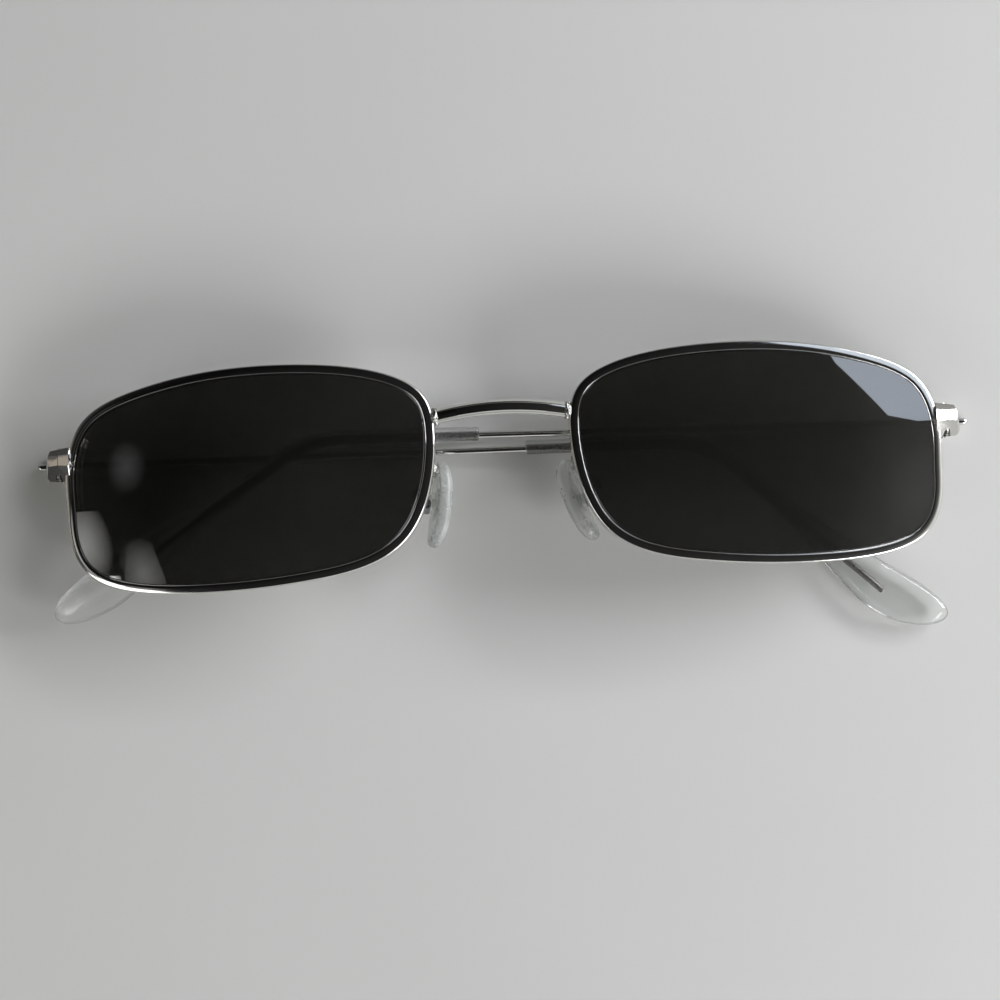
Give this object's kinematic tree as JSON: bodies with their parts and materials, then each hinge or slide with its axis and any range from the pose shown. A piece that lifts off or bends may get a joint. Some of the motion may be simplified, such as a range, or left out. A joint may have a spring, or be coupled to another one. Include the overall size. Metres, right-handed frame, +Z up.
{
  "type": "folding sunglasses",
  "caption": "Small rectangular full-rim metal sunglasses with dark grey lenses, clear nose pads and clear temple tips, folded and lying on their back.",
  "frame": {"origin": "on the surface that the glasses lie on, under the middle of their box", "axes": "+X along the front from the left lens to the right lens as seen from the front, +Y towards the top of the front, +Z up, the way the lenses face"},
  "size_m": [0.1352, 0.0416, 0.0141],
  "materials": {
    "frame_metal": "polished nickel plating",
    "screw_steel": "turned steel",
    "lens_smoke": "polished, faintly mirrored",
    "tip_clear": "clear and glossy",
    "pad_silicone": "clear, slightly cloudy",
    "insert_clear": "clear"
  },
  "bodies": {
    "front": {"bridge": "frame_metal", "rim_left": "frame_metal", "rim_right": "frame_metal", "lens_left": "lens_smoke", "lens_right": "lens_smoke", "endpiece_left": "frame_metal", "endpiece_right": "frame_metal", "lock_upper_left": "frame_metal", "lock_upper_right": "frame_metal", "lock_lower_left": "frame_metal", "lock_lower_right": "frame_metal", "lock_screw_left": "screw_steel", "lock_screw_right": "screw_steel", "hinge_front_left": "frame_metal", "hinge_front_right": "frame_metal", "hinge_screw_left": "screw_steel", "hinge_screw_right": "screw_steel", "pad_arm_left": "frame_metal", "pad_arm_right": "frame_metal", "pad_box_left": "frame_metal", "pad_box_right": "frame_metal", "pad_screw_left": "screw_steel", "pad_screw_right": "screw_steel"},
    "temple_left": {"hinge_temple_left": "frame_metal", "temple_bar_left": "frame_metal", "temple_tip_left": "tip_clear"},
    "temple_right": {"hinge_temple_right": "frame_metal", "temple_bar_right": "frame_metal", "temple_tip_right": "tip_clear"},
    "pad_left": {"pad_insert_left": "insert_clear", "nose_pad_left": "pad_silicone"},
    "pad_right": {"pad_insert_right": "insert_clear", "nose_pad_right": "pad_silicone"}
  },
  "joints": [
    {"name": "temple_hinge_left", "type": "hinge", "parent": "front", "child": "temple_left", "pos_m": [-0.06331, 0.00842, 0.00192], "axis": [0, 1, 0], "range_deg": [0, 92]},
    {"name": "temple_hinge_right", "type": "hinge", "parent": "front", "child": "temple_right", "pos_m": [0.06331, 0.00842, 0.00192], "axis": [0, -1, 0], "range_deg": [0, 93.15]},
    {"name": "pad_rock_left", "type": "hinge", "parent": "front", "child": "pad_left", "pos_m": [-0.0115, 0.00042, 0.00662], "axis": [0.2079, 0, 0.9781], "range_deg": [-12, 2]},
    {"name": "pad_rock_right", "type": "hinge", "parent": "front", "child": "pad_right", "pos_m": [0.0121, 0.00042, 0.00662], "axis": [-0.2079, 0, 0.9781], "range_deg": [-12, 2]}
  ]
}
